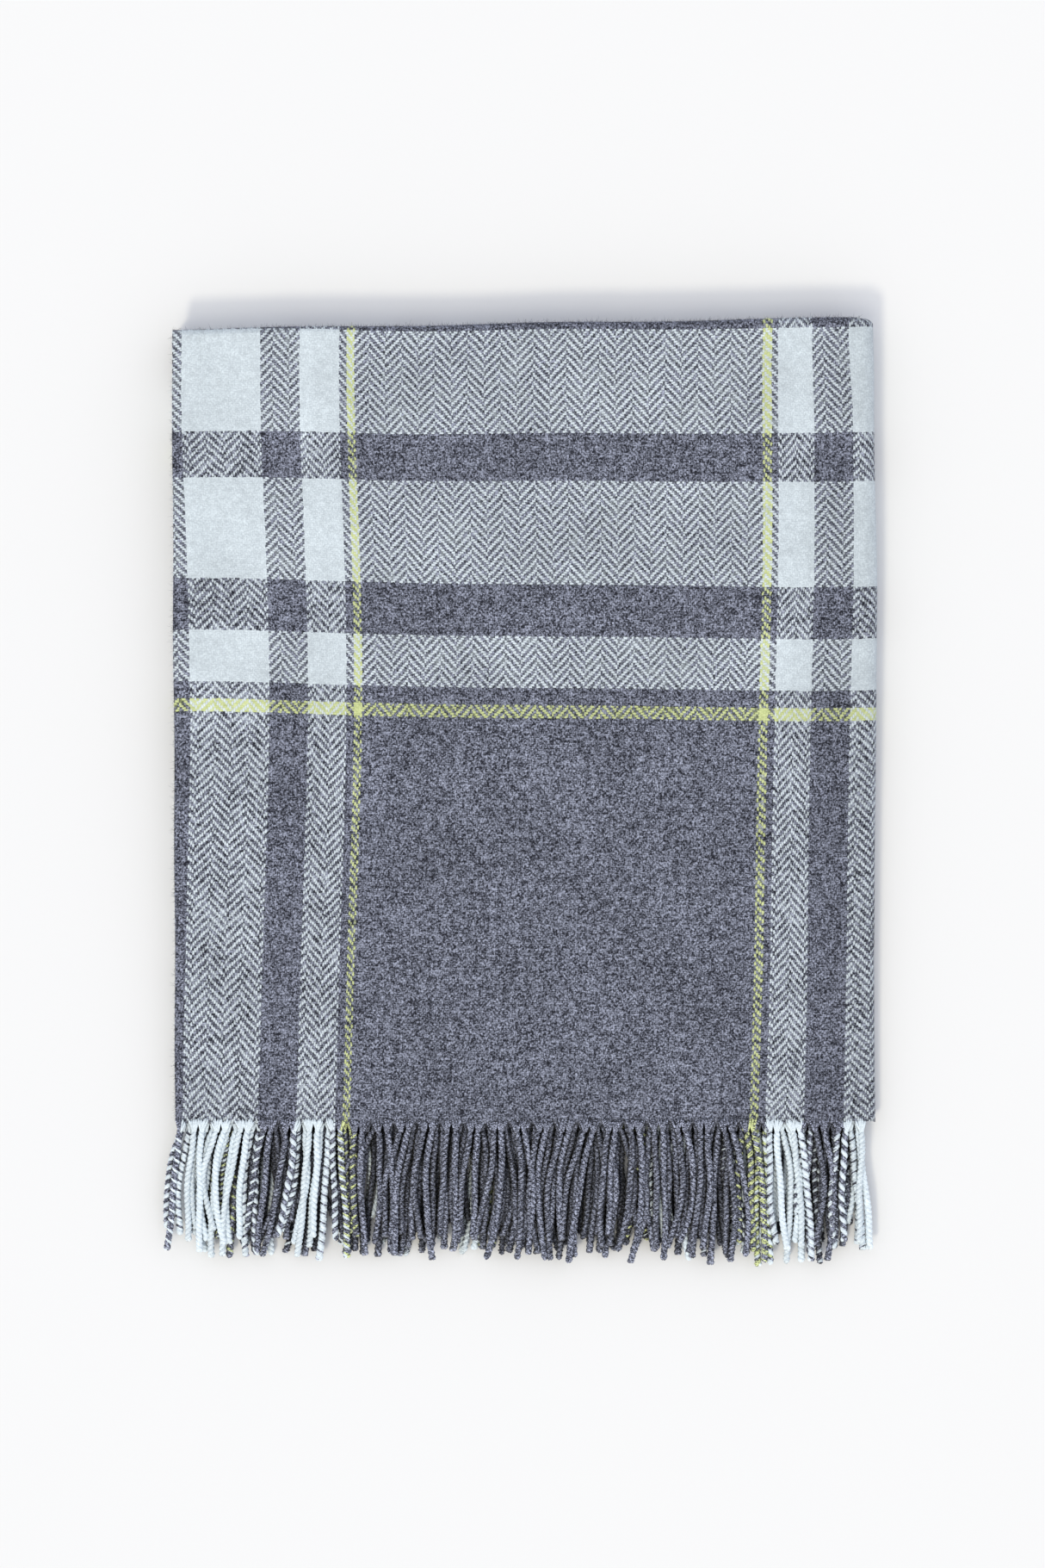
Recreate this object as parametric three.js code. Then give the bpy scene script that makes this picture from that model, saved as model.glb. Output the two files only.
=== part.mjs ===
// A fringed wool throw blanket, folded flat: in half along its length, its head turned under,
// then in thirds across its width. Millimetres, +Z up, lying on its underside, the fringe
// towards -Y and the folded head towards +Y, origin under the middle of the bounding box.
import * as THREE from 'three';

// ---- driving dimensions, mm ----
const PANEL_WIDTH = 454;
const CLOTH_SPAN = 518;
const FRINGE_LENGTH = 92;
const TURNED_UNDER = 241;
const HEIGHT_AT_FRINGE = 15;
const HEIGHT_AT_HEAD = 30;
const CLOTH = 1.6;
const GAP = 0.3;
const FOLD_GAP = 1.2;
const MERGE_SPAN = 88;
const TASSELS = 60;
const TASSEL_WIDTH = 4.8;
const FRINGE_ROOT = 4;
const FRINGE_DROOP = 0.2;
const TIP_TRIM = 9;
const WANDER = 2.5;

const HEAD_LEVELS = 11;
const FRINGE_LEVELS = 5;
const HALF_WIDTH = PANEL_WIDTH / 2;
const HEAD_Y = (CLOTH_SPAN + FRINGE_LENGTH) / 2;
const CLOTH_END_Y = HEAD_Y - CLOTH_SPAN;
const TIP_Y = CLOTH_END_Y - FRINGE_LENGTH;
const MID_FOLD_Y = HEAD_Y - TURNED_UNDER;
const MERGE_TOP_Y = MID_FOLD_Y - 6;
const MERGE_LOW_Y = MERGE_TOP_Y - MERGE_SPAN;
const MERGE_STEPS = 4;
const ARC_STEPS = 10;

// ---- the stack: level 0 is the lowest layer; returns end at the middle fold ----
const LAYERS = {
  top: {
    outer: { head: 11, fringe: 5 },
    inner: { head: 10, fringe: 4 },
    inner_return: { head: 9 },
    outer_return: { head: 8 },
  },
  middle: {
    outer: { head: 4, fringe: 2 },
    inner: { head: 5, fringe: 3 },
    inner_return: { head: 6 },
    outer_return: { head: 7 },
  },
  bottom: {
    outer: { head: 3, fringe: 1 },
    inner: { head: 2, fringe: 0 },
    inner_return: { head: 1 },
    outer_return: { head: 0 },
  },
};

const SLATE = { colour: 0x7c8090, roughness: 0.95 };
const PALE = { colour: 0xd3dde3, roughness: 0.95 };
const MIXED = { colour: 0x9aa0ad, roughness: 0.95 };

const group = new THREE.Group();

function addMesh(name, geometry, finish) {
  const material = new THREE.MeshStandardMaterial({
    color: finish.colour,
    roughness: finish.roughness,
    metalness: 0,
  });
  const mesh = new THREE.Mesh(geometry, material);
  mesh.name = name;
  group.add(mesh);
}

// ---- heights and edges as functions of the place along the blanket ----
function stackHeight(y) {
  return THREE.MathUtils.mapLinear(y, CLOTH_END_Y, HEAD_Y, HEIGHT_AT_FRINGE, HEIGHT_AT_HEAD);
}

function headShare(y) {
  return THREE.MathUtils.smoothstep(y, MERGE_LOW_Y, MERGE_TOP_Y);
}

function blendLevels(fringeShare, headLevelShare, y) {
  return THREE.MathUtils.lerp(fringeShare, headLevelShare, headShare(y));
}

function layerZ(layer, y) {
  const atHead = layer.head / HEAD_LEVELS;
  const atFringe = layer.fringe === undefined ? atHead : layer.fringe / FRINGE_LEVELS;
  return CLOTH / 2 + (stackHeight(y) - CLOTH) * blendLevels(atFringe, atHead, y);
}

// x of the line about which the widest bend on either side curves
function foldLineX(y) {
  const reach = (stackHeight(y) - CLOTH) * blendLevels(3 / FRINGE_LEVELS, 7 / HEAD_LEVELS, y) / 2;
  return HALF_WIDTH - CLOTH / 2 - reach;
}

function leftEdge(panel, y) {
  return panel === 'top' ? -HALF_WIDTH : -foldLineX(y) + FOLD_GAP / 2;
}

// the bottom panel's loose edge is tucked in to end at the fold line too
function rightEdge(y) {
  return foldLineX(y) - FOLD_GAP / 2;
}

// head bends share one centre line, set by the widest of them
const widestHeadBend = (HEIGHT_AT_HEAD - CLOTH) * 1.5 / HEAD_LEVELS;
const HEAD_CENTRE_Y = HEAD_Y - CLOTH / 2 - widestHeadBend;

// places along the blanket where a layer's line changes direction
function stations(from, to) {
  const inner = [];
  for (let i = 0; i <= MERGE_STEPS; i += 1) {
    inner.push(MERGE_LOW_Y + i * MERGE_SPAN / MERGE_STEPS);
  }
  return [from, ...inner.filter((y) => y > from && y < to), to];
}

// ---- solids: a unit box whose corners are moved by a rule ----
function shapedBox(acrossSteps, alongSteps, place) {
  const geometry = new THREE.BoxGeometry(1, 1, 1, acrossSteps, alongSteps, 1);
  const corners = geometry.attributes.position;
  for (let i = 0; i < corners.count; i += 1) {
    const at = place(corners.getX(i), corners.getY(i), corners.getZ(i));
    corners.setXYZ(i, at.x, at.y, at.z);
  }
  geometry.computeVertexNormals();
  return geometry;
}

function addLayer(panel, kind) {
  const layer = LAYERS[panel][kind];
  const from = layer.fringe === undefined ? MID_FOLD_Y + GAP / 2 : CLOTH_END_Y;
  const places = stations(from, HEAD_CENTRE_Y - GAP / 2);
  const steps = places.length - 1;
  addMesh(`${panel}_${kind}_layer`, shapedBox(1, steps, (u, v, w) => {
    const y = places[Math.round((v + 0.5) * steps)];
    const x = THREE.MathUtils.lerp(leftEdge(panel, y), rightEdge(y), u + 0.5);
    return new THREE.Vector3(x, y, layerZ(layer, y) + w * CLOTH);
  }), MIXED);
}

// a bend across the blanket, joining two layers of one panel at the head or at the middle fold
function addCrossBend(name, panel, kinds, centreY, side) {
  const [a, b] = kinds.map((kind) => layerZ(LAYERS[panel][kind], centreY));
  const radius = Math.abs(a - b) / 2;
  addMesh(name, shapedBox(1, ARC_STEPS, (u, v, w) => {
    const angle = -side * Math.PI * v;
    const reach = radius + w * CLOTH;
    const x = THREE.MathUtils.lerp(leftEdge(panel, centreY), rightEdge(centreY), u + 0.5);
    const y = centreY + side * reach * Math.cos(angle);
    return new THREE.Vector3(x, y, (a + b) / 2 + reach * Math.sin(angle));
  }), SLATE);
}

// a bend along the blanket, joining the same layer of two panels at the left or right edge
function addSideBend(name, upper, lower, side) {
  const from = upper.fringe === undefined ? MID_FOLD_Y + GAP / 2 : CLOTH_END_Y;
  const places = stations(from, HEAD_CENTRE_Y - GAP / 2);
  const steps = places.length - 1;
  addMesh(name, shapedBox(ARC_STEPS, steps, (u, v, w) => {
    const y = places[Math.round((v + 0.5) * steps)];
    const high = layerZ(upper, y);
    const low = layerZ(lower, y);
    const angle = -side * Math.PI * u;
    const reach = (high - low) / 2 + w * CLOTH;
    const x = side * (foldLineX(y) + reach * Math.cos(angle));
    return new THREE.Vector3(x, y, (high + low) / 2 + reach * Math.sin(angle));
  }), PALE);
}

// one comb of tassels growing from a root strip along a layer's fringed end
function addFringe(panel, kind, order) {
  const left = leftEdge(panel, CLOTH_END_Y);
  const right = rightEdge(CLOTH_END_Y);
  const rootY = CLOTH_END_Y - GAP;
  const toothY = rootY - FRINGE_ROOT;
  const pitch = (right - left) / TASSELS;
  const bends = panel === 'top' ? [0.35, 0.7] : [];
  const outline = [new THREE.Vector2(left, rootY)];
  for (let i = 0; i < TASSELS; i += 1) {
    const rootX = left + (i + 0.5) * pitch;
    const trim = TIP_TRIM * (1 - Math.cos(i * 2.4 + order * (TASSELS - 1 - i))) / 2;
    const length = toothY - TIP_Y - trim;
    const wander = WANDER * Math.sin(i / 5 + order) * Math.min(1, i / 4, (TASSELS - 1 - i) / 4);
    const shares = [0, ...bends, 1];
    const side = (share, half) => new THREE.Vector2(
      rootX + half * TASSEL_WIDTH / 2 + wander * Math.sin(share * Math.PI / 2),
      toothY - share * length,
    );
    outline.push(...shares.map((share) => side(share, -1)));
    outline.push(...shares.reverse().map((share) => side(share, 1)));
  }
  outline.push(new THREE.Vector2(right, rootY));
  const geometry = new THREE.ExtrudeGeometry(new THREE.Shape(outline), {
    depth: 1,
    bevelEnabled: false,
  });
  const corners = geometry.attributes.position;
  const rootZ = layerZ(LAYERS[panel][kind], CLOTH_END_Y) - CLOTH / 2;
  for (let i = 0; i < corners.count; i += 1) {
    const out = (rootY - corners.getY(i)) / FRINGE_LENGTH;
    corners.setZ(i, rootZ * (1 - FRINGE_DROOP * out) + corners.getZ(i) * CLOTH);
  }
  geometry.computeVertexNormals();
  addMesh(`${panel}_${kind}_fringe`, geometry, PALE);
}

// ---- the folded blanket ----
const panels = Object.keys(LAYERS);
const kinds = Object.keys(LAYERS.top);

for (const panel of panels) {
  for (const kind of kinds) {
    addLayer(panel, kind);
  }
  addCrossBend(`${panel}_outer_head_fold`, panel, ['outer', 'outer_return'], HEAD_CENTRE_Y, 1);
  addCrossBend(`${panel}_inner_head_fold`, panel, ['inner', 'inner_return'], HEAD_CENTRE_Y, 1);
  addCrossBend(`${panel}_middle_fold`, panel, ['outer_return', 'inner_return'], MID_FOLD_Y, -1);
}

for (const kind of kinds) {
  addSideBend(`right_fold_${kind}`, LAYERS.top[kind], LAYERS.middle[kind], 1);
  addSideBend(`left_fold_${kind}`, LAYERS.middle[kind], LAYERS.bottom[kind], -1);
}

panels.forEach((panel, order) => {
  addFringe(panel, 'outer', 2 * order);
  addFringe(panel, 'inner', 2 * order + 1);
});

export default group;
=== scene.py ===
"""A folded plaid throw blanket with twisted fringe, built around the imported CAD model."""
import math

import bpy
import numpy as np
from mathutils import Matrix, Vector


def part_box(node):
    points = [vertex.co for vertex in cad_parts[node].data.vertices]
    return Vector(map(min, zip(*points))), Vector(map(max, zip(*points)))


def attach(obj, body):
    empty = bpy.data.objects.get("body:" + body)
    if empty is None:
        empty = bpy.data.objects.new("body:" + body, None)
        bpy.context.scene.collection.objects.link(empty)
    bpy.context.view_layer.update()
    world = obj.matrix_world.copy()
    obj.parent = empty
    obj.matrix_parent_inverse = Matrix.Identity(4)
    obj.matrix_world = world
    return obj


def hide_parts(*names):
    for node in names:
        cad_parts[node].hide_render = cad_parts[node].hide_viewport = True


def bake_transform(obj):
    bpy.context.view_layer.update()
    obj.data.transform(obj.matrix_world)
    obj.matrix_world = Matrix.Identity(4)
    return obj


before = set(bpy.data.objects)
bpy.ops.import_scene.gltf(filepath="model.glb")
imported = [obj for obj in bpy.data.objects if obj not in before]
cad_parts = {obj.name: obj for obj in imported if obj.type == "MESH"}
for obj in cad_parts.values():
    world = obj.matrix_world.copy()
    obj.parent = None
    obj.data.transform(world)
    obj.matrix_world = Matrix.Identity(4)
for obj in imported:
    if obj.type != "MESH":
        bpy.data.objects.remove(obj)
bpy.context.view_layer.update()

MM = 0.001

# ---- the folded stack, read from the CAD boxes ----
top_low, top_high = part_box("top_outer_layer")
_, head_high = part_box("top_outer_head_fold")
return_low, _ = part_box("top_outer_return_layer")
CLOTH = 1.6 * MM
VISIBLE_CLOTH = 1.5 * MM
GAP = 0.3 * MM
HALF_WIDTH = -top_low.x
CLOTH_END_Y = top_low.y
HEAD_Y = head_high.y
HEAD_CENTRE_Y = top_high.y + GAP / 2
MID_FOLD_Y = return_low.y - GAP / 2
HEIGHT_AT_FRINGE = top_low.z + CLOTH
HEIGHT_AT_HEAD = 30 * MM
# between these the long layers pass from their head level to their fringe level
MERGE_TOP_Y = MID_FOLD_Y - 6 * MM
MERGE_LOW_Y = MERGE_TOP_Y - 88 * MM
HEAD_LEVELS, FRINGE_LEVELS = 11, 5
CLOTH_LENGTH = 2 * (HEAD_Y - CLOTH_END_Y) + 2 * (HEAD_Y - MID_FOLD_Y)



def held(level):
    """The levels of a layer that keeps its share of the stack's height from head to fringe."""
    return level, level * FRINGE_LEVELS / HEAD_LEVELS


LEVELS = {  # (level at the head, level at the fringe), counted from the bottom
    "top": {"outer": (11, 5), "inner": (10, 4), "inner_return": held(9), "outer_return": held(8)},
    "middle": {"outer": (4, 2), "inner": (5, 3), "inner_return": held(6), "outer_return": held(7)},
    "bottom": {"outer": (3, 1), "inner": (2, 0), "inner_return": held(1), "outer_return": held(0)},
}
# levels that the tallest side bend spans
BEND_LEVELS_AT_HEAD, BEND_LEVELS_AT_FRINGE = 7, 3
KINDS = ("outer", "inner", "inner_return", "outer_return")


def smoothstep(t):
    t = np.clip(t, 0, 1)
    return t * t * (3 - 2 * t)


def stack_height(y):
    share = (y - CLOTH_END_Y) / (HEAD_Y - CLOTH_END_Y)
    return HEIGHT_AT_FRINGE + share * (HEIGHT_AT_HEAD - HEIGHT_AT_FRINGE)


def head_share(y):
    return smoothstep((y - MERGE_LOW_Y) / (MERGE_TOP_Y - MERGE_LOW_Y))


def layer_z(levels, y):
    share = head_share(y)
    place = levels[0] / HEAD_LEVELS * share + levels[1] / FRINGE_LEVELS * (1 - share)
    return CLOTH / 2 + (stack_height(y) - CLOTH) * place


def widest_bend(y):
    share = head_share(y)
    span = (BEND_LEVELS_AT_HEAD / HEAD_LEVELS * share
            + BEND_LEVELS_AT_FRINGE / FRINGE_LEVELS * (1 - share))
    return (stack_height(y) - CLOTH) * span / 2


def fold_line_x(y):
    return HALF_WIDTH - CLOTH / 2 - widest_bend(y)


# ---- how the cloth lies: drift of its threads, tilt of its head, soft relief ----
def fitted(points, degree):
    at, value = np.array(points, float).T * MM
    return np.polynomial.Polynomial.fit(at, value, degree)


# sideways drift of the warp along the blanket, (y, drift) in mm,
# near the left and right yellow lines
left_drift = fitted([(300, -1), (270, -1.2), (180, 1.2), (110, 3.9), (65, 3.8), (20, 3.2),
                     (-20, 2), (-65, 0.3), (-110, -1.3), (-155, -3), (-205, -4.7)], 6)
right_drift = fitted([(300, 0.3), (250, 0), (180, 0), (115, -0.3), (75, -1.3), (40, -3),
                      (-15, -3.7), (-60, -4.3), (-105, -5.2), (-150, -6.1), (-195, -7.8),
                      (-213, -8.2)], 6)
# fall of the weft lines from left to right, (x, fall) in mm
weft_fall = fitted([(-227, -4.2), (-198, -4), (-131, -2.6), (-86, -0.8), (-11, 0), (67, 0.5),
                    (131, 1.6), (173, 2), (218, 1.6)], 5)
LEFT_LINE_X, RIGHT_LINE_X = -112 * MM, 155 * MM
# further sideways drift outside the yellow lines, (x, drift) in mm
EDGE_DRIFT = np.array([(-227, 0), (-221, 0), (-174, 1.6), (-148, 1.7), (-121, 0.9), (-112, 0),
                       (150, 0), (162, 1.5), (188, -2.0), (214, -1.7), (228, -1.0),
                       (240, 0)]).T * MM
HEAD_DRIFT = 2.6 * MM
# how far the left and right edges stand from a straight line, (y, outwards) in mm
LEFT_SWAY = np.array([(-213, 0), (0, 0.1), (100, 0.6), (250, 0.9), (305, 1.1)]).T * MM
RIGHT_SWAY = np.array([(-213, 0.4), (-170, 0.3), (-105, -0.7), (-40, 0.2), (30, 0.4), (95, 1.3),
                       (130, 1.4), (195, -0.2), (265, -0.8), (300, -1.9)]).T * MM
HEAD_TILT = 8 * MM
BUNCH = 15 * MM  # two tassels hang from each bunch of warp ends
HEAD_DROP = 0.6 * MM


def warp_place(x, y):
    """Distance of the warp end at x, y of the top panel from the cloth's left edge."""
    share = np.clip((x - LEFT_LINE_X) / (RIGHT_LINE_X - LEFT_LINE_X), -0.45, 1.3)
    eased = 1 - 0.5 * np.clip(np.abs(x) / HALF_WIDTH, 0, 1) ** 4
    drift = (left_drift(y) * (1 - share) + right_drift(y) * share) * eased
    drift = drift + np.interp(x, *EDGE_DRIFT)
    at_head = smoothstep((y - 235 * MM) / (60 * MM))
    at_right = smoothstep((x - 160 * MM) / (40 * MM))
    drift = drift - HEAD_DRIFT * at_head * at_right
    return x + HALF_WIDTH - drift


def weft_place(x, y):
    """Distance of the pick at x, y from the cloth's fringed end."""
    hold = smoothstep((y - CLOTH_END_Y) / (120 * MM))
    return y - CLOTH_END_Y + weft_fall(np.clip(x, -HALF_WIDTH, HALF_WIDTH)) * hold


def relief(x, y):
    wave = np.sin(x * 21 + 1.3 * np.sin(y * 13)) * np.cos(y * 17 + 0.8)
    ripple = np.sin(x * 63 + y * 31 + 0.5) * np.sin(y * 57 - x * 12)
    return (0.55 * wave + 0.16 * ripple) * MM


def settle(points):
    """Moves points of the ideal stack to where the real cloth lies."""
    x, y, z = points[..., 0], points[..., 1], points[..., 2]
    out = points.copy()
    share = z / stack_height(y)
    out[..., 2] += relief(x, y) * np.clip(share, 0, 1) ** 1.5
    at_head = smoothstep((y - 120 * MM) / (HEAD_CENTRE_Y - 120 * MM))
    tilt = x / HALF_WIDTH * HEAD_TILT / 2 + 0.5 * MM * np.sin(x * 38 + 1) - HEAD_DROP
    out[..., 1] += tilt * at_head
    near_end = 1 - smoothstep((y - CLOTH_END_Y) / (9 * MM))
    pull = (0.9 * np.cos(2 * math.pi * (x + HALF_WIDTH) / BUNCH)
            + 0.3 * np.sin(x * 900) * np.sin(x * 333 + 1))
    out[..., 1] += pull * MM * near_end
    edge = np.clip(np.abs(x) / HALF_WIDTH, 0, 1.1) ** 10
    sway = np.where(x < 0, -np.interp(y, *LEFT_SWAY), np.interp(y, *RIGHT_SWAY))
    out[..., 0] += (sway + 0.25 * MM * np.sin(y * 47)) * edge
    return out


# ---- meshes ----
def new_mesh(name, points, quads, uvs, sharp=None, tris=()):
    """A mesh object. quads is (n, 4) and uvs is (n, 4, 2), one place for each corner."""
    quads = np.asarray(quads, np.int32)
    tris = np.asarray(tris, np.int32).reshape(-1, 3)
    mesh = bpy.data.meshes.new(name)
    mesh.vertices.add(len(points))
    mesh.vertices.foreach_set("co", np.ascontiguousarray(points, np.float32).ravel())
    corners = np.concatenate([quads.ravel(), tris.ravel()])
    mesh.loops.add(len(corners))
    mesh.loops.foreach_set("vertex_index", corners)
    starts = np.concatenate([np.arange(len(quads)) * 4, len(quads) * 4 + np.arange(len(tris)) * 3])
    mesh.polygons.add(len(starts))
    mesh.polygons.foreach_set("loop_start", starts.astype(np.int32))
    mesh.update(calc_edges=True)
    layer = mesh.uv_layers.new(name="thread")
    layer.data.foreach_set("uv", np.ascontiguousarray(uvs, np.float32).ravel())
    smooth = np.ones(len(starts), bool) if sharp is None else ~np.asarray(sharp, bool)
    mesh.polygons.foreach_set("use_smooth", smooth)
    mesh.validate()
    made = bpy.data.objects.new(name, mesh)
    bpy.context.scene.collection.objects.link(made)
    return made


def cloth_sheet(name, centre, normal, threads, thickness=VISIBLE_CLOTH):
    """A closed sheet about a grid of centre points (rows, columns, 3), with its threads' places."""
    rows, columns = centre.shape[:2]
    face = settle(centre + normal * thickness / 2).reshape(-1, 3)
    back = settle(centre - normal * thickness / 2).reshape(-1, 3)
    index = np.arange(rows * columns).reshape(rows, columns)
    under = index + rows * columns
    quads = [np.stack([index[:-1, :-1], index[:-1, 1:], index[1:, 1:], index[1:, :-1]], -1),
             np.stack([under[:-1, :-1], under[1:, :-1], under[1:, 1:], under[:-1, 1:]], -1)]
    rims = [np.stack([index[0, 1:], index[0, :-1], under[0, :-1], under[0, 1:]], -1),
            np.stack([index[-1, :-1], index[-1, 1:], under[-1, 1:], under[-1, :-1]], -1),
            np.stack([index[:-1, 0], index[1:, 0], under[1:, 0], under[:-1, 0]], -1),
            np.stack([index[1:, -1], index[:-1, -1], under[:-1, -1], under[1:, -1]], -1)]
    quads = np.concatenate([q.reshape(-1, 4) for q in quads] + rims)
    sharp = np.zeros(len(quads), bool)
    sharp[-sum(len(r) for r in rims):] = True
    both = np.concatenate([threads.reshape(-1, 2)] * 2)
    return new_mesh(name, np.concatenate([face, back]), quads, both[quads], sharp)


# ---- the run of one panel's cloth, from its outer fringed end to its inner one ----
def spaced(start, end, step):
    return np.linspace(start, end, max(2, int(round(abs(end - start) / step)) + 1))


ARC = np.radians(np.linspace(0, 180, 13))
HIDDEN_STEP = 12 * MM  # spacing of rows in the layers that are out of sight


def panel_run(panel, step):
    """Rows of (y, z, distance along the cloth) down the middle of the panel's thickness."""
    levels = LEVELS[panel]
    legs = [("outer", CLOTH_END_Y, HEAD_CENTRE_Y), ("outer_return", HEAD_CENTRE_Y, MID_FOLD_Y),
            ("inner_return", MID_FOLD_Y, HEAD_CENTRE_Y), ("inner", HEAD_CENTRE_Y, CLOTH_END_Y)]
    ys, zs = [], []
    for number, (kind, start, end) in enumerate(legs):
        y = spaced(start, end, step if number == 0 else HIDDEN_STEP)
        z = layer_z(levels[kind], y)
        ys.append(y)
        zs.append(z)
        if number < 3:
            after = layer_z(levels[legs[number + 1][0]], end)
            middle, radius = (z[-1] + after) / 2, (z[-1] - after) / 2
            side = 1 if end == HEAD_CENTRE_Y else -1
            ys.append(end + side * abs(radius) * np.sin(ARC[1:-1]))
            zs.append(middle + radius * np.cos(ARC[1:-1]))
    y, z = np.concatenate(ys), np.concatenate(zs)
    along = np.concatenate([[0], np.cumsum(np.hypot(np.diff(y), np.diff(z)))])
    return y, z, along * CLOTH_LENGTH / along[-1]


EDGE_CLEAR = 1.6 * MM  # a panel stops this short of a fold line, so that it can open flat
TUCK = 8 * MM  # the bottom panel's loose right edge lies this far inside the fold line


def panel_sides(panel, y):
    line = fold_line_x(y)
    left = np.full_like(y, -HALF_WIDTH) if panel == "top" else EDGE_CLEAR - line
    return left, line - (TUCK if panel == "bottom" else EDGE_CLEAR)


def panel_warp(panel, x, y):
    line, turn = fold_line_x(y), math.pi * widest_bend(y)
    if panel == "top":
        return warp_place(x, y)
    second = warp_place(line, y) + turn
    if panel == "middle":
        return second + line - x
    return second + 2 * line + turn + x + line


def make_panel(panel, step, columns):
    y, z, along = panel_run(panel, step)
    left, right = panel_sides(panel, y)
    share = np.linspace(0, 1, columns)
    x = left[:, None] + (right - left)[:, None] * share
    grid_y = np.repeat(y[:, None], columns, 1)
    centre = np.stack([x, grid_y, np.repeat(z[:, None], columns, 1)], -1)
    tangent = np.gradient(np.stack([y, z], -1), axis=0)
    tangent /= np.linalg.norm(tangent, axis=1)[:, None]
    facing = np.stack([np.zeros_like(y), -tangent[:, 1], tangent[:, 0]], -1)
    normal = np.repeat(facing[:, None, :], columns, 1)
    warp = panel_warp(panel, x, np.clip(grid_y, CLOTH_END_Y, HEAD_CENTRE_Y))
    shift = weft_place(x, grid_y) - weft_place(np.zeros_like(x), grid_y)
    weft = along[:, None] + shift * np.where(along < CLOTH_LENGTH / 2, 1, -1)[:, None]
    return cloth_sheet(f"cloth_{panel}", centre, normal, np.stack([warp, weft], -1))


# ---- bends along the left and right edges ----
CORNER_REACH = (HEAD_Y - HEAD_CENTRE_Y) * 0.93
CORNER_DEGREES, CORNER_ROWS = 84, 9
LEAD_IN, LEAD_SINK, LEAD_LIFT = 6 * MM, -0.04 * MM, 0.10 * MM
BEND_ROWS, BEND_COLUMNS, LEAD_COLUMNS = 121, 25, 4
ARC_EASE = 0.85  # how much closer the columns stand near the top and bottom of a bend
OUTERMOST_BENDS = ("cloth_right_fold_outer", "cloth_left_fold_outer_return")


def make_side_bend(name, side, upper, lower, panels, kind):
    start = MID_FOLD_Y if "return" in kind else CLOTH_END_Y
    y = np.linspace(start, HEAD_CENTRE_Y, BEND_ROWS)
    high, low = layer_z(upper, y), layer_z(lower, y)
    middle, radius = (high + low) / 2, (high - low) / 2
    spine = (middle, radius, y)
    if name in OUTERMOST_BENDS:  # these round off at the head
        round_off = np.radians(np.linspace(0, CORNER_DEGREES, CORNER_ROWS + 1))[1:]
        y = np.concatenate([y, HEAD_CENTRE_Y + CORNER_REACH * np.sin(round_off)])
        middle = np.concatenate([middle, np.full(len(round_off), middle[-1])])
        radius = np.concatenate([radius, radius[-1] * np.cos(round_off)])
    # it begins and ends as a flat strip that comes out of the panels' outer surfaces
    share = np.linspace(0, 1, BEND_COLUMNS)
    lead = np.linspace(LEAD_IN, 0, LEAD_COLUMNS + 1)[:-1]
    angle = math.pi / 2 - math.pi * (share - ARC_EASE * np.sin(2 * math.pi * share) / (2 * math.pi))
    level = np.full(len(lead), math.pi / 2)
    angle = np.concatenate([level, angle, -level])
    flat = np.concatenate([lead, np.zeros_like(share), lead[::-1]])
    near_panel = smoothstep((np.abs(np.sin(angle)) - 0.2) / 0.8)
    lift = np.interp(flat, (0, LEAD_IN), (LEAD_LIFT, LEAD_SINK)) * near_panel
    line = fold_line_x(np.minimum(y, HEAD_CENTRE_Y))
    x = side * (line[:, None] - flat + radius[:, None] * np.cos(angle))
    z = middle[:, None] + radius[:, None] * np.sin(angle) + lift * np.sign(np.sin(angle))
    grid_y = np.repeat(y[:, None], len(angle), 1)
    centre = np.stack([x, grid_y, z], -1)
    normal = np.stack([side * np.cos(angle), np.zeros_like(angle), np.sin(angle)], -1)
    normal = np.repeat(normal[None], len(y), 0)
    first = panel_warp(panels[0], side * line, y)
    last = panel_warp(panels[1], side * line, y)
    turned = 0.5 - angle / math.pi
    warp = first[:, None] + (last - first)[:, None] * turned - flat * np.sign(angle)
    far = kind.startswith("inner")
    run = {"outer": y - CLOTH_END_Y, "inner": CLOTH_LENGTH - (y - CLOTH_END_Y),
           "outer_return": CLOTH_LENGTH / 2 - (y - MID_FOLD_Y),
           "inner_return": CLOTH_LENGTH / 2 + (y - MID_FOLD_Y)}[kind]
    shift = weft_place(x, grid_y) - weft_place(np.zeros_like(x), grid_y)
    weft = run[:, None] + shift * (-1 if far else 1)
    threads = np.stack([warp, weft], -1)
    if side > 0:
        return cloth_sheet(name, centre, normal, threads), *spine
    return cloth_sheet(name, centre[:, ::-1], normal[:, ::-1], threads[:, ::-1]), *spine


# ---- twisted tassels ----
TASSELS = 60
PLY_RADIUS = 1.52 * MM
PLY_OFFSET = 0.88 * MM
FRAY = 1.08  # how much thicker a ply gets at its loose end
TWIST_PITCH = 6.5 * MM
PLY_WARP = 3.75 * MM
ROOT_DROP = 3.0 * MM  # how far below the cloth's end a pair of tassels begins
ROW_RISE = 2.05 * MM
ROOT_YARNS = 7
ROOT_SPREAD = 6.1 * MM
ROOT_YARN_RADIUS = 0.75 * MM


def tube(path, radius, across, sides):
    """Points (rings, sides, 3) of a tube along path, with a radius for each ring.

    across is the tube's level axis.
    """
    ahead = np.gradient(path, axis=0)
    ahead /= np.linalg.norm(ahead, axis=1)[:, None]
    level = across - (ahead * across).sum(1)[:, None] * ahead
    level /= np.linalg.norm(level, axis=1)[:, None]
    up = np.cross(level, ahead)
    turn = np.linspace(0, 2 * math.pi, sides, endpoint=False)
    ring = (np.cos(turn)[None, :, None] * level[:, None, :]
            + np.sin(turn)[None, :, None] * up[:, None, :])
    return path[:, None, :] + radius[:, None, None] * ring


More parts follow.
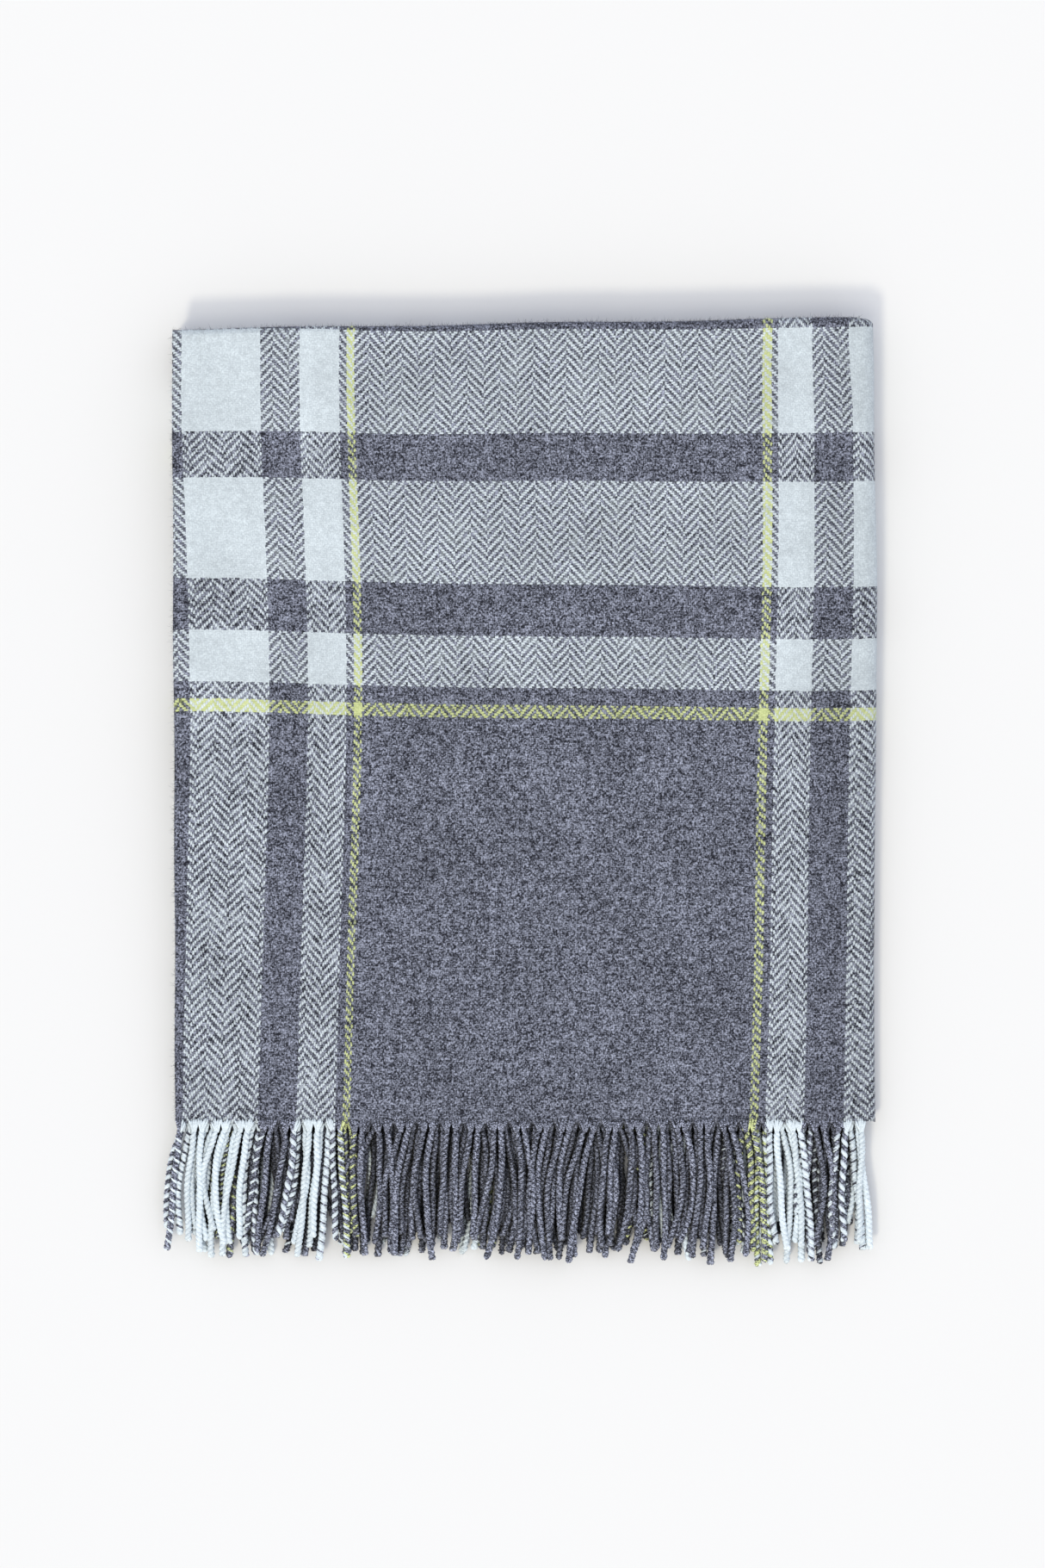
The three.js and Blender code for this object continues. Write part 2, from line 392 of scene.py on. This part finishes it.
def tube_faces(rings, sides, first, warp_from, warp_span, along):
    """Quads, corner places and cap triangles of one tube whose points start at index first."""
    ring, side = np.meshgrid(np.arange(rings - 1), np.arange(sides), indexing="ij")
    after = (side + 1) % sides
    quads = first + np.stack([ring * sides + side, ring * sides + after,
                              (ring + 1) * sides + after, (ring + 1) * sides + side], -1)
    u0 = warp_from + warp_span * side / sides
    u1 = warp_from + warp_span * (side + 1) / sides
    v0, v1 = along[ring], along[ring + 1]
    uvs = np.stack([np.stack([u0, v0], -1), np.stack([u1, v0], -1),
                    np.stack([u1, v1], -1), np.stack([u0, v1], -1)], 2)
    fan = np.arange(1, sides - 1)
    root = first + np.stack([np.zeros_like(fan), fan + 1, fan], -1)
    last = first + (rings - 1) * sides
    tip = last + np.stack([np.zeros_like(fan), fan, fan + 1], -1)
    tris = np.concatenate([root, tip])
    tri_uvs = np.empty((len(tris), 3, 2))
    tri_uvs[..., 0] = warp_from + warp_span / 2
    tri_uvs[: len(fan), :, 1] = along[0]
    tri_uvs[len(fan):, :, 1] = along[-1]
    # rings run clockwise about the path, so faces are listed backwards to face outward
    return (quads[..., ::-1].reshape(-1, 4), uvs[:, :, ::-1].reshape(-1, 4, 2),
            tris[:, ::-1], tri_uvs[:, ::-1])


class Strands:
    """Collects tubes into one mesh."""

    def __init__(self):
        self.points, self.quads, self.uvs, self.tris, self.tri_uvs = [], [], [], [], []
        self.count = 0

    def add(self, points, warp_from, warp_span, along):
        rings, sides = points.shape[:2]
        quads, uvs, tris, tri_uvs = tube_faces(rings, sides, self.count, warp_from, warp_span,
                                               along)
        self.points.append(points.reshape(-1, 3))
        self.quads.append(quads)
        self.uvs.append(uvs)
        self.tris.append(tris)
        self.tri_uvs.append(tri_uvs)
        self.count += rings * sides

    def finish(self, name):
        uvs = np.concatenate([np.concatenate(self.uvs).reshape(-1, 2),
                              np.concatenate(self.tri_uvs).reshape(-1, 2)])
        return new_mesh(name, np.concatenate(self.points), np.concatenate(self.quads), uvs,
                        tris=np.concatenate(self.tris))


# sides and rings per turn, lengths at left and middle and their spread in mm,
# lean at left, middle and right
ROWS = {
    ("top", "outer"): dict(sides=8, rings=7, left=74, middle=79, spread=9,
                           lean=(-0.085, -0.05, 0.055), seed=3),
    ("top", "inner"): dict(sides=6, rings=7, left=76, middle=79, spread=12,
                           lean=(-0.09, -0.02, 0.05), seed=5),
    ("middle", "inner"): dict(sides=6, rings=6, left=71, middle=74, spread=15,
                              lean=(-0.10, -0.03, 0.0), seed=8),
    ("middle", "outer"): dict(sides=5, rings=6, left=68, middle=71, spread=14,
                              lean=(-0.13, 0.0, 0.01), seed=13),
    ("bottom", "outer"): dict(sides=5, rings=6, left=68, middle=71, spread=14,
                              lean=(-0.12, -0.03, 0.0), seed=21),
    ("bottom", "inner"): dict(sides=5, rings=6, left=68, middle=71, spread=14,
                              lean=(-0.12, 0.0, 0.0), seed=34),
}
ROW_ORDER = list(reversed(ROWS))  # from the lowest row up
LEAN_SPREAD = 0.06  # how much the lean of one pair of tassels differs from the next
BOW_SPREAD = 3.2  # how far a pair bows sideways, in mm
HIDDEN_FULLNESS = 1.12  # the rows under the top one have thicker plies, which close its gaps
ACROSS = np.array([1.0, 0, 0])


def add_root_yarns(strands, panel, spot_x, start, root_z, rng):
    """The loose warp ends that gather from the cloth's edge into one tassel."""
    spread = np.linspace(-0.5, 0.5, ROOT_YARNS) * ROOT_SPREAD
    for offset in spread:
        t = np.linspace(0, 1, 8)
        reach = rng.uniform(0.4, 3.2) * MM
        gather = smoothstep(t * 1.1)
        x = (spot_x + offset) * (1 - gather) + (start[0] + offset * 0.26) * gather
        x = x + rng.normal(0, 0.3) * MM * np.sin(t * 3)
        y = CLOTH_END_Y + reach + (start[1] - 3.4 * MM - CLOTH_END_Y - reach) * t
        top = root_z + VISIBLE_CLOTH / 2 + ROOT_YARN_RADIUS * 0.35
        z = top + (start[2] + 0.5 * MM - top) * smoothstep(t * 1.2) + 0.3 * MM * np.sin(t * math.pi)
        thick = ROOT_YARN_RADIUS * np.array([0.3, 0.75, 1, 1.1, 1.15, 1.2, 1.1, 0.6])
        path = np.stack([x, y, z], -1)
        warp = panel_warp(panel, np.array([spot_x + offset]), np.array([CLOTH_END_Y]))[0]
        strands.add(tube(path, thick, ACROSS, 5), warp, 0.0, t * 9 * MM)


def make_fringe(panel, kind):
    """One row of tassels, a pair twisted in opposite directions from each bunch of warp ends."""
    facts = ROWS[panel, kind]
    order = ROW_ORDER.index((panel, kind))
    rng = np.random.default_rng(facts["seed"])
    strands = Strands()
    left, right = (float(v[0]) for v in panel_sides(panel, np.array([CLOTH_END_Y])))
    pitch = (right - left) / TASSELS
    root_z = float(layer_z(LEVELS[panel][kind], CLOTH_END_Y))
    tip_z = PLY_RADIUS + PLY_OFFSET + order * ROW_RISE
    ply_radius = PLY_RADIUS * (1.0 if (panel, kind) == ("top", "outer") else HIDDEN_FULLNESS)
    above_floor = ply_radius * FRAY
    drift = bow = 0.0
    for number in range(TASSELS):
        second = (number + order) % 2
        hand = 1 - 2 * second
        spot = (number + 0.5) / TASSELS
        if hand > 0:
            drift = rng.normal(0, LEAN_SPREAD)
            bow = rng.normal(0, BOW_SPREAD) * MM
        bunch_x = left + (number - second + 1) * pitch
        start_x = bunch_x - hand * 2.5 * MM + rng.normal(0, 0.25) * MM
        lean = float(np.interp(spot, (0, 0.45, 1), facts["lean"])) + drift + rng.normal(0, 0.013)
        full = facts["left"] + (facts["middle"] - facts["left"]) * smoothstep(spot * 3.2)
        length = (full + rng.uniform(-1, 1) * facts["spread"]) * MM
        part, wave = rng.normal(1.1, 0.5) * MM, rng.uniform(0, 2 * math.pi)
        twist = TWIST_PITCH * rng.uniform(0.92, 1.12)
        rings = int(length / twist * facts["rings"])
        s = np.linspace(0, length, rings)
        t = s / length
        x = start_x - hand * part * smoothstep(t * 1.6) + lean * s
        x = x + bow * np.sin(t * math.pi) + 0.5 * MM * np.sin(t * 9 + wave) * smoothstep(t * 4)
        if panel != "top":
            room = ply_radius + PLY_OFFSET
            inset = TUCK if panel == "bottom" else 0
            past = min(0, x.min() - left - room - inset) + max(0, x.max() - right + room)
            x = x - past * smoothstep(t * 2)
        y = CLOTH_END_Y - ROOT_DROP - s
        z = root_z + 0.9 * MM + (tip_z - root_z - 0.9 * MM) * smoothstep(t * 1.1)
        z = z + 0.7 * MM * np.sin(t * 7 + wave) * np.sin(t * math.pi)
        axis = np.stack([x, y, z], -1)
        turn = hand * (wave + 2 * math.pi * s / twist)
        snug = 0.5 + 0.5 * smoothstep(s / (7 * MM))
        snug = snug * (1 + 0.12 * smoothstep((s - (length - 3 * MM)) / (3 * MM)))
        left_end = bunch_x - pitch if hand > 0 else bunch_x - pitch + PLY_WARP
        warp_start = panel_warp(panel, np.array([left_end]), np.array([CLOTH_END_Y]))[0]
        for ply in range(2):
            phase = turn + ply * math.pi
            path = axis.copy()
            path[:, 0] += PLY_OFFSET * snug * np.cos(phase)
            path[:, 2] = np.maximum(path[:, 2] + PLY_OFFSET * snug * np.sin(phase), above_floor)
            radius = ply_radius * (0.35 + 0.65 * snug)
            radius[0] *= 0.6
            radius[-1] *= rng.uniform(0.7, 0.95)
            outward = np.stack([np.cos(phase), np.zeros_like(phase), np.sin(phase)], -1)
            strands.add(tube(path, radius, outward, facts["sides"]),
                        warp_start + 2 * ply * PLY_WARP, PLY_WARP, s)
        add_root_yarns(strands, panel, bunch_x - hand * ROOT_SPREAD / 2, axis[0], root_z, rng)
    return strands.finish(f"fringe_{panel}_{kind}")


# ---- nap: short loose fibres along the top panel's head, left edge and fringed end ----
NAP_RADIUS = 0.05 * MM
NAP_LONGEST = 3.4 * MM
NAP_COUNTS = {"head": 4600, "left": 1500, "end": 2200}


def make_nap():
    rng = np.random.default_rng(55)
    outer, under = (float(layer_z(LEVELS["top"][kind], HEAD_CENTRE_Y))
                    for kind in ("outer", "outer_return"))
    middle, radius = (outer + under) / 2, (outer - under) / 2 + VISIBLE_CLOTH / 2
    strands = Strands()
    right = float(fold_line_x(HEAD_CENTRE_Y))
    for place, count in NAP_COUNTS.items():
        for _ in range(count):
            if place == "head":
                tilt = math.radians(rng.uniform(-5, 80))
                facing = np.array([0, math.cos(tilt), math.sin(tilt)])
                root = np.array([rng.uniform(-HALF_WIDTH, right), HEAD_CENTRE_Y, middle])
                root = root + radius * facing
            elif place == "left":
                y = rng.uniform(CLOTH_END_Y, HEAD_CENTRE_Y)
                facing = np.array([-1.0, 0, 0.5])
                z = float(layer_z(LEVELS["top"]["outer"], y)) + rng.uniform(-0.4, 0.7) * MM
                root = np.array([-HALF_WIDTH, y, z])
            else:
                facing = np.array([0, -1.0, 0.5])
                z = float(layer_z(LEVELS["top"]["outer"], CLOTH_END_Y)) + 0.72 * MM
                root = np.array([rng.uniform(-HALF_WIDTH, right),
                                 CLOTH_END_Y + rng.uniform(0, 3) * MM, z])
            aim = facing + rng.normal(0, 0.55, 3)
            aim /= np.linalg.norm(aim)
            length = (0.7 + rng.exponential(0.9)) * MM
            t = np.linspace(0, 1, 4)[:, None]
            curl = rng.normal(0, 0.35, 3) * min(length, 2 * MM)
            path = root - 0.25 * MM * facing + aim * min(length, NAP_LONGEST) * t + curl * t * t
            path[:, 2] = np.maximum(path[:, 2], NAP_RADIUS)
            thin = NAP_RADIUS * np.array([1, 1, 0.8, 0.4])
            across = np.cross(aim, [0.3, 0.2, 0.9])
            warp = float(warp_place(root[0], min(root[1], HEAD_CENTRE_Y)))
            weft = float(weft_place(root[0], root[1]))
            strands.add(tube(settle(path), thin, across, 3), warp, 0.0, np.full(4, weft))
    return strands.finish("cloth_nap")


# ---- materials ----
END_PITCH = 1.324 * MM
PICK_PITCH = 1.394 * MM
WALE_ENDS = 8
WARP_CENTRE, WARP_HALF = 248.6 * MM, 254.8 * MM
WARP_BANDS = {"yellow": [(131.3, 136.4)], "pale": [(141.0, 167.3), (192.9, 242.0)]}
WEFT_CENTRE = 430.7 * MM
WEFT_BANDS = {"yellow": [(160.8, 168.1)], "pale": [(15.9, 82.8), (116.2, 149.7)]}
# painted shade along the right fold: where the band rises and falls in warp place, and how much it
# darkens
FOLD_SHADE_RISE, FOLD_SHADE_FALL = (405 * MM, 430 * MM), (500 * MM, 475 * MM)
PAINTED_FOLD_SHADE = 0.125
THREAD_WOBBLE = 1.2 * MM
HEATHER_CURVE = 1.35
# how far the occlusion node looks, and how strongly its painted shade darkens dark and bright yarn
GAP_DEPTH = 14 * MM
DARK_GAP_SHADE, BRIGHT_GAP_SHADE = 1.35, 0.10
PALE, PALE_DEEP = (0.722, 0.802, 0.848), (0.55, 0.612, 0.655)
DARK, DARK_DEEP = (0.398, 0.427, 0.542), (0.013, 0.014, 0.022)
YELLOW, YELLOW_DEEP = (0.67, 0.73, 0.36), (0.49, 0.55, 0.24)


class Graph:
    """Short calls that add shader nodes."""

    def __init__(self, material):
        self.tree = material.node_tree
        self.nodes = self.tree.nodes

    def _set(self, socket, value):
        if isinstance(value, bpy.types.NodeSocket):
            self.tree.links.new(value, socket)
        elif value is not None:
            socket.default_value = value

    def math(self, operation, *values):
        node = self.nodes.new("ShaderNodeMath")
        node.operation = operation
        for socket, value in zip(node.inputs, values):
            self._set(socket, value)
        return node.outputs[0]

    def noise(self, place, scale, detail=2.0, roughness=0.5):
        node = self.nodes.new("ShaderNodeTexNoise")
        self._set(node.inputs["Vector"], place)
        node.inputs["Scale"].default_value = scale
        node.inputs["Detail"].default_value = detail
        node.inputs["Roughness"].default_value = roughness
        return node.outputs["Fac"]

    def point(self, x, y, z=0.0):
        node = self.nodes.new("ShaderNodeCombineXYZ")
        for socket, value in zip(node.inputs, (x, y, z)):
            self._set(socket, value)
        return node.outputs[0]

    def dice(self, place):
        node = self.nodes.new("ShaderNodeTexWhiteNoise")
        node.noise_dimensions = "2D"
        self._set(node.inputs["Vector"], place)
        return node.outputs["Value"]

    def mix(self, share, a, b, blend="MIX"):
        node = self.nodes.new("ShaderNodeMix")
        node.data_type = "RGBA"
        node.blend_type = blend
        self._set(node.inputs["Factor"], share)
        colours = [s for s in node.inputs if s.type == "RGBA"]
        for socket, value in zip(colours, (a, b)):
            self._set(socket, (*value, 1) if isinstance(value, tuple) else value)
        return [s for s in node.outputs if s.type == "RGBA"][0]

    def spread(self, value, low, high):
        """0 at low, 1 at high, clamped."""
        node = self.nodes.new("ShaderNodeMapRange")
        for socket, number in zip(node.inputs[:5], (value, low, high, 0.0, 1.0)):
            self._set(socket, number)
        return node.outputs[0]

    def either(self, choice, if_one, if_zero):
        node = self.nodes.new("ShaderNodeMix")
        node.data_type = "FLOAT"
        for socket, number in zip(node.inputs[:4], (choice, None, if_zero, if_one)):
            self._set(socket, number)
        return node.outputs[0]

    def within(self, value, low, high):
        above = self.math("GREATER_THAN", value, low)
        return self.math("MULTIPLY", above, self.math("LESS_THAN", value, high))

    def bands(self, value, spans):
        total = None
        for low, high in spans:
            inside = self.within(value, low * MM, high * MM)
            total = inside if total is None else self.math("ADD", total, inside)
        return total

    def yarn_colour(self, value, bands, heather):
        dark = self.mix(self.math("POWER", heather, HEATHER_CURVE), DARK_DEEP, DARK)
        pale = self.mix(heather, PALE_DEEP, PALE)
        yellow = self.mix(heather, YELLOW_DEEP, YELLOW)
        base = self.mix(self.bands(value, bands["pale"]), dark, pale)
        if not bands["yellow"]:
            return base
        return self.mix(self.bands(value, bands["yellow"]), base, yellow)


def base_material(name):
    material = bpy.data.materials.new(name)
    material.use_nodes = True
    graph = Graph(material)
    shader = graph.nodes["Principled BSDF"]
    shader.inputs["Roughness"].default_value = 0.95
    shader.inputs["Specular IOR Level"].default_value = 0.12
    shader.inputs["Sheen Weight"].default_value = 0.10
    shader.inputs["Sheen Roughness"].default_value = 0.6
    uv = graph.nodes.new("ShaderNodeUVMap")
    uv.uv_map = "thread"
    split = graph.nodes.new("ShaderNodeSeparateXYZ")
    graph.tree.links.new(uv.outputs["UV"], split.inputs[0])
    return material, graph, shader, uv.outputs["UV"], split.outputs[0], split.outputs[1]


def add_bump(graph, shader, height, strength, distance):
    bump = graph.nodes.new("ShaderNodeBump")
    bump.inputs["Strength"].default_value = strength
    bump.inputs["Distance"].default_value = distance
    graph.tree.links.new(height, bump.inputs["Height"])
    graph.tree.links.new(bump.outputs[0], shader.inputs["Normal"])


def woven_cloth():
    material, g, shader, place, u, v = base_material("herringbone_wool")
    m = g.math
    # uneven threads
    swapped = g.point(v, u, 0.3)
    u2, v2 = u, v
    for scale in (150, 700):
        u2 = m("MULTIPLY_ADD", m("SUBTRACT", g.noise(place, scale, 1), 0.5), THREAD_WOBBLE, u2)
        v2 = m("MULTIPLY_ADD", m("SUBTRACT", g.noise(swapped, scale, 1), 0.5), THREAD_WOBBLE, v2)
    end_at, pick_at = m("DIVIDE", u2, END_PITCH), m("DIVIDE", v2, PICK_PITCH)
    end, pick = m("FLOOR", end_at), m("FLOOR", pick_at)
    fu, fv = m("SUBTRACT", end_at, end), m("SUBTRACT", pick_at, pick)
    # 2/2 herringbone: the twill turns back after every eight ends, with a clean break
    wale = m("FLOORED_MODULO", end, 2.0 * WALE_ENDS)
    rising = m("LESS_THAN", wale, WALE_ENDS - 0.5)
    step = g.either(rising, wale, m("SUBTRACT", 2.0 * WALE_ENDS + 1, wale))
    phase = m("FLOORED_MODULO", m("ADD", step, pick), 4.0)
    warp_up = m("LESS_THAN", phase, 1.5)
    # where in its float each thread is, along and across
    warp_run = m("MULTIPLY", m("ADD", phase, fv), 0.5)
    weft_rise = m("MULTIPLY", m("ADD", m("SUBTRACT", phase, 2.0), fu), 0.5)
    weft_fall_run = m("MULTIPLY", m("ADD", m("SUBTRACT", 3.0, phase), fu), 0.5)
    run = g.either(warp_up, warp_run, g.either(rising, weft_rise, weft_fall_run))
    side = g.either(warp_up, fu, fv)
    round_side = m("MULTIPLY", m("MULTIPLY", side, m("SUBTRACT", 1.0, side)), 4.0)
    round_run = m("MULTIPLY", m("MULTIPLY", run, m("SUBTRACT", 1.0, run)), 4.0)
    crown = m("POWER", m("MULTIPLY", round_side, round_run), 0.45)
    # fibres lie along each thread; heather is the mottle of light and dark fibres, plus painted
    # shade that darkens the sides and ends of each float
    warp_fibres = g.noise(g.point(m("MULTIPLY", u, 1500.0), m("MULTIPLY", v, 520.0), 3.0),
                          1.0, 2, 0.6)
    weft_fibres = g.noise(g.point(m("MULTIPLY", u, 520.0), m("MULTIPLY", v, 1500.0), 7.0),
                          1.0, 2, 0.6)
    fibres = g.either(warp_up, warp_fibres, weft_fibres)
    grain = g.noise(g.point(u, v, 0.2), 690, 2, 0.7)
    patch = g.noise(g.point(u, v, 0.5), 190, 3, 0.6)
    cloud = g.noise(g.point(u, v, 0.9), 20, 3, 0.55)
    cell = g.dice(g.point(end, pick))
    drifts = g.noise(g.point(u, v, 1.3), 42, 1, 0.9)
    flocks = g.noise(g.point(u, v, 1.7), 200, 1, 0.9)
    heather = m("MULTIPLY_ADD", m("SUBTRACT", grain, 0.5), 2.6, 0.368)
    heather = m("MULTIPLY_ADD", m("SUBTRACT", drifts, 0.5), 0.28, heather)
    heather = m("MULTIPLY_ADD", m("SUBTRACT", flocks, 0.5), 1.05, heather)
    heather = m("MULTIPLY_ADD", m("SUBTRACT", fibres, 0.5), 1.5, heather)
    heather = m("MULTIPLY_ADD", m("SUBTRACT", cell, 0.5), 0.3, heather)
    # painted shade: heather is raised at each float's crown and lowered at its sides and ends
    heather = g.spread(m("MULTIPLY_ADD", m("SUBTRACT", crown, 0.6), 0.4, heather), 0.0, 1.0)
    # stripe colours, one for each whole thread
    warp_mid = m("MULTIPLY", m("ADD", end, 0.5), END_PITCH)
    warp_q = m("PINGPONG", m("SUBTRACT", warp_mid, WARP_CENTRE), WARP_HALF)
    weft_mid = m("MULTIPLY", m("ADD", pick, 0.5), PICK_PITCH)
    weft_q = m("ABSOLUTE", m("SUBTRACT", m("PINGPONG", weft_mid, CLOTH_LENGTH / 2), WEFT_CENTRE))
    firm = m("MULTIPLY", m("SUBTRACT", warp_up, 0.575), m("MULTIPLY_ADD", crown, 0.95, 0.14))
    strays = m("SUBTRACT", g.noise(g.point(u, v, 0.7), 1500, 1, 0.5), 0.5)
    share = m("MULTIPLY_ADD", m("SUBTRACT", flocks, 0.5), 1.3, m("MULTIPLY_ADD", strays, 0.9, firm))
    share = m("MULTIPLY_ADD", m("SUBTRACT", drifts, 0.5), 0.7, share)
    showing = g.spread(share, -0.33, 0.33)
    weft_colour = g.yarn_colour(weft_q, WEFT_BANDS, heather)
    warp_colour = g.yarn_colour(warp_q, WARP_BANDS, heather)
    colour = g.mix(showing, weft_colour, warp_colour)
    # painted shade and dark fuzz: a float's sides and ends take the colour of the darker of the two
    # threads
    depth = m("SUBTRACT", m("MULTIPLY_ADD", strays, 0.5, crown), m("MULTIPLY", warp_up, 0.10))
    sunk_fuzz_and_shade = m("MULTIPLY", g.spread(depth, 0.74, 0.18), 0.68)
    colour = g.mix(sunk_fuzz_and_shade, colour, g.mix(1.0, weft_colour, warp_colour, "DARKEN"))
    tone = m("MULTIPLY_ADD", m("SUBTRACT", patch, 0.5), 0.32, 1.0)
    tone = m("MULTIPLY_ADD", m("SUBTRACT", cloud, 0.5), 0.52, tone)
    # painted shade: the cloth is darkened in a band of warp places along the right fold between the
    # top and middle panels, where that side turns away from the light
    fold_shade_band = m("MULTIPLY", g.spread(u, *FOLD_SHADE_RISE), g.spread(u, *FOLD_SHADE_FALL))
    tone = m("MULTIPLY", tone, m("MULTIPLY_ADD", fold_shade_band, -PAINTED_FOLD_SHADE, 1.0))
    shaded = g.mix(1.0, colour, g.point(tone, tone, tone), "MULTIPLY")
    g.tree.links.new(shaded, shader.inputs["Base Color"])
    height = m("MULTIPLY_ADD", fibres, 0.5, m("MULTIPLY", crown, 0.8))
    add_bump(g, shader, m("MULTIPLY_ADD", patch, 0.5, height), 0.6, 0.35 * MM)
    return material


def twisted_yarn():
    material, g, shader, place, u, v = base_material("twisted_wool")
    m = g.math
    wobble = m("MULTIPLY", m("SUBTRACT", g.noise(place, 400, 2), 0.5), THREAD_WOBBLE)
    end = m("FLOOR", m("DIVIDE", m("ADD", u, wobble), END_PITCH))
    warp_mid = m("MULTIPLY", m("ADD", end, 0.5), END_PITCH)
    warp_q = m("PINGPONG", m("SUBTRACT", warp_mid, WARP_CENTRE), WARP_HALF)
    slant = m("MULTIPLY_ADD", v, 0.45, u)
    streak = g.noise(g.point(m("MULTIPLY", slant, 2100.0), m("MULTIPLY", v, 800.0), 0.2),
                     1.0, 2, 0.7)
    fleck = g.noise(g.point(u, v, 0.4), 1500, 2, 0.8)
    cloud = g.noise(g.point(u, v, 0.8), 90, 2)
    heather = m("MULTIPLY_ADD", m("SUBTRACT", fleck, 0.5), 4.6, 0.44)
    heather = g.spread(m("MULTIPLY_ADD", m("SUBTRACT", streak, 0.5), 2.6, heather), 0.0, 1.0)
    plain = g.yarn_colour(warp_q, {"yellow": [], "pale": WARP_BANDS["pale"]}, heather)
    marl = g.mix(m("GREATER_THAN", fleck, 0.46), plain, g.mix(heather, YELLOW_DEEP, YELLOW))
    colour = g.mix(g.bands(warp_q, WARP_BANDS["yellow"]), plain, marl)
    # painted shade: an occlusion node darkens the tassels' colour towards the bottom of the gaps
    # between them, the bright ones hardly at all
    gap_occlusion = g.nodes.new("ShaderNodeAmbientOcclusion")
    gap_occlusion.samples = 6
    gap_occlusion.inputs["Distance"].default_value = GAP_DEPTH
    bright = g.bands(warp_q, WARP_BANDS["pale"] + WARP_BANDS["yellow"])
    painted_gap_shade = m("POWER", gap_occlusion.outputs["AO"],
              m("MULTIPLY_ADD", bright, BRIGHT_GAP_SHADE - DARK_GAP_SHADE, DARK_GAP_SHADE))
    tone = m("MULTIPLY_ADD", m("SUBTRACT", cloud, 0.5), 0.35, 1.42)
    tone = m("MULTIPLY", m("MULTIPLY_ADD", bright, -0.15, tone), painted_gap_shade)
    shaded = g.mix(1.0, colour, g.point(tone, tone, tone), "MULTIPLY")
    g.tree.links.new(shaded, shader.inputs["Base Color"])
    add_bump(g, shader, m("MULTIPLY_ADD", streak, 0.6, m("MULTIPLY", fleck, 0.4)), 0.6, 0.3 * MM)
    return material


cloth_material = woven_cloth()
yarn_material = twisted_yarn()


def finish_piece(piece, material):
    piece.data.materials.clear()
    piece.data.materials.append(material)
    return piece


# ---- the pieces ----
BODY = {"top": "top_panel", "middle": "middle_panel", "bottom": "bottom_panel"}
# spacing of the rows in sight, and number of columns
PANEL_GRIDS = {"top": (3 * MM, 151), "middle": (8 * MM, 57), "bottom": (8 * MM, 57)}
fringes = {}
for panel, kind in ROW_ORDER:
    row = finish_piece(make_fringe(panel, kind), yarn_material)
    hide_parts(f"{panel}_{kind}_fringe")
    if panel == "top":
        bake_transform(row)
    else:
        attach(row, BODY[panel])
    fringes.setdefault(panel, []).append(row)

bends = {"top": [], "middle": [], "bottom": []}
for edge, side, upper, lower in (("right", 1, "top", "middle"), ("left", -1, "middle", "bottom")):
    for kind in KINDS:
        name = f"{edge}_fold_{kind}"
        bend, middle, radius, y = make_side_bend(f"cloth_{name}", side, LEVELS[upper][kind],
                                                 LEVELS[lower][kind], (upper, lower), kind)
        finish_piece(bend, cloth_material)
        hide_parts(name)
        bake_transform(bend)
        bends[upper].append(bend)

nap = finish_piece(make_nap(), cloth_material)
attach(nap, "top_panel")
fringes["top"].append(nap)

for panel, (step, columns) in PANEL_GRIDS.items():
    cloth = finish_piece(make_panel(panel, step, columns), cloth_material)
    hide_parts(*[f"{panel}_{kind}_layer" for kind in KINDS],
                f"{panel}_outer_head_fold", f"{panel}_inner_head_fold", f"{panel}_middle_fold")
    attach(cloth, BODY[panel])


# ---- floor, light and camera ----
FLOOR_HALF, FLOOR_LINES = 4.0, 9
WORLD_COLOUR, WORLD_STRENGTH = (0.88, 0.912, 1.0, 1), 0.88
SUN_COLOUR = (1.0, 0.924, 0.717)
# name, strength, angle in degrees, direction it comes from
SUNS = (("key", 0.92, 10, (-0.38, -0.83, 1.0)), ("fill", 0.38, 25, (-0.2, -0.42, 1.0)))


def floor():
    at = np.linspace(-FLOOR_HALF, FLOOR_HALF, FLOOR_LINES)
    x, y = np.meshgrid(at, at, indexing="ij")
    points = np.stack([x, y, np.zeros_like(x)], -1).reshape(-1, 3)
    index = np.arange(FLOOR_LINES * FLOOR_LINES).reshape(FLOOR_LINES, FLOOR_LINES)
    quads = np.stack([index[:-1, :-1], index[1:, :-1], index[1:, 1:], index[:-1, 1:]], -1)
    quads = quads.reshape(-1, 4)
    made = new_mesh("floor", points, quads, points[quads][..., :2])
    material = bpy.data.materials.new("pale_floor")
    material.use_nodes = True
    shader = material.node_tree.nodes["Principled BSDF"]
    shader.inputs["Base Color"].default_value = (0.87, 0.87, 0.87, 1)
    shader.inputs["Roughness"].default_value = 0.9
    shader.inputs["Specular IOR Level"].default_value = 0.1
    made.data.materials.append(material)
    return made


floor()

scene = bpy.context.scene
scene.view_settings.view_transform = "Standard"
scene.view_settings.look = "None"

world = bpy.data.worlds.new("studio")
scene.world = world
world.use_nodes = True
background = world.node_tree.nodes["Background"]
background.inputs["Color"].default_value = WORLD_COLOUR
background.inputs["Strength"].default_value = WORLD_STRENGTH

for name, energy, spread, toward in SUNS:
    sun = bpy.data.lights.new(name, "SUN")
    sun.energy = energy
    sun.angle = math.radians(spread)
    sun.color = SUN_COLOUR
    lamp = bpy.data.objects.new(name, sun)
    lamp.rotation_euler = Vector(toward).to_track_quat("Z", "Y").to_euler()
    scene.collection.objects.link(lamp)

VIEW_HEIGHT = 1015.2 * MM
VIEW_CENTRE = (-1.7 * MM, 6.5 * MM)
CAMERA_HEIGHT = 3.2
FACE_Z = 20 * MM
SENSOR = 36.0
camera_data = bpy.data.cameras.new("camera")
camera_data.sensor_fit = "VERTICAL"
camera_data.sensor_height = SENSOR
camera_data.lens = SENSOR * (CAMERA_HEIGHT - FACE_Z) / VIEW_HEIGHT
camera = bpy.data.objects.new("camera", camera_data)
camera.location = (*VIEW_CENTRE, CAMERA_HEIGHT)
scene.collection.objects.link(camera)
scene.camera = camera
